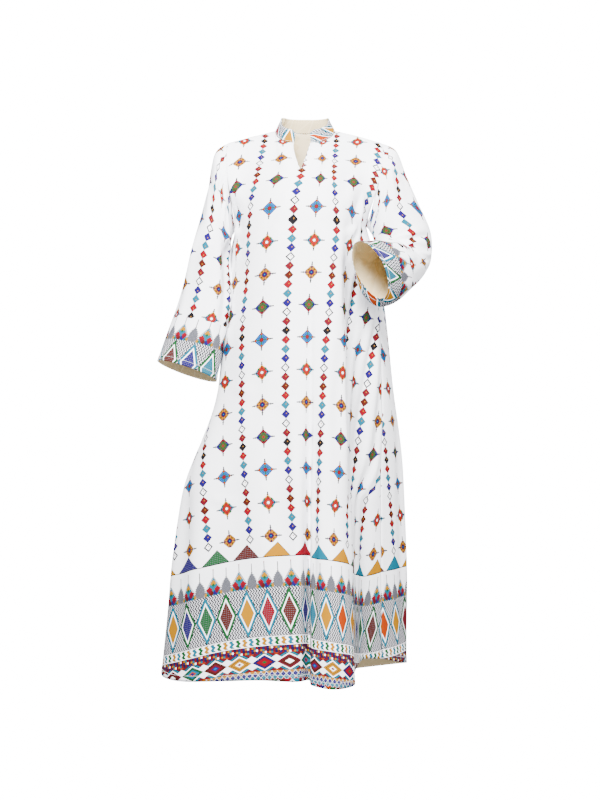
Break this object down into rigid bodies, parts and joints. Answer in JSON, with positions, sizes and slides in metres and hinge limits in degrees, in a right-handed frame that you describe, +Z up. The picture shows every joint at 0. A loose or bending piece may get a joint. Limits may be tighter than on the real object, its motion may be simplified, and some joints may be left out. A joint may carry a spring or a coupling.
{
  "type": "kaftan",
  "caption": "Long loose printed cotton kaftan in worn form, with a low stand collar, a short front slit and wide bracelet-length sleeves, the left one bent.",
  "frame": {"origin": "base of the neck, level with the shoulder seams' inner ends", "axes": "+Z up along the body, the wearer faces -Y, +X to the wearer's left"},
  "size_m": [0.6703, 0.5352, 1.4049],
  "materials": {
    "printed_cotton": "matt plain-weave cotton with a many-coloured geometric print"
  },
  "bodies": {
    "root": {"front_bodice": "printed_cotton", "front_skirt": "printed_cotton", "back_bodice": "printed_cotton", "back_skirt": "printed_cotton", "sleeve_right": "printed_cotton", "sleeve_left": "printed_cotton", "collar": "printed_cotton"}
  },
  "joints": []
}
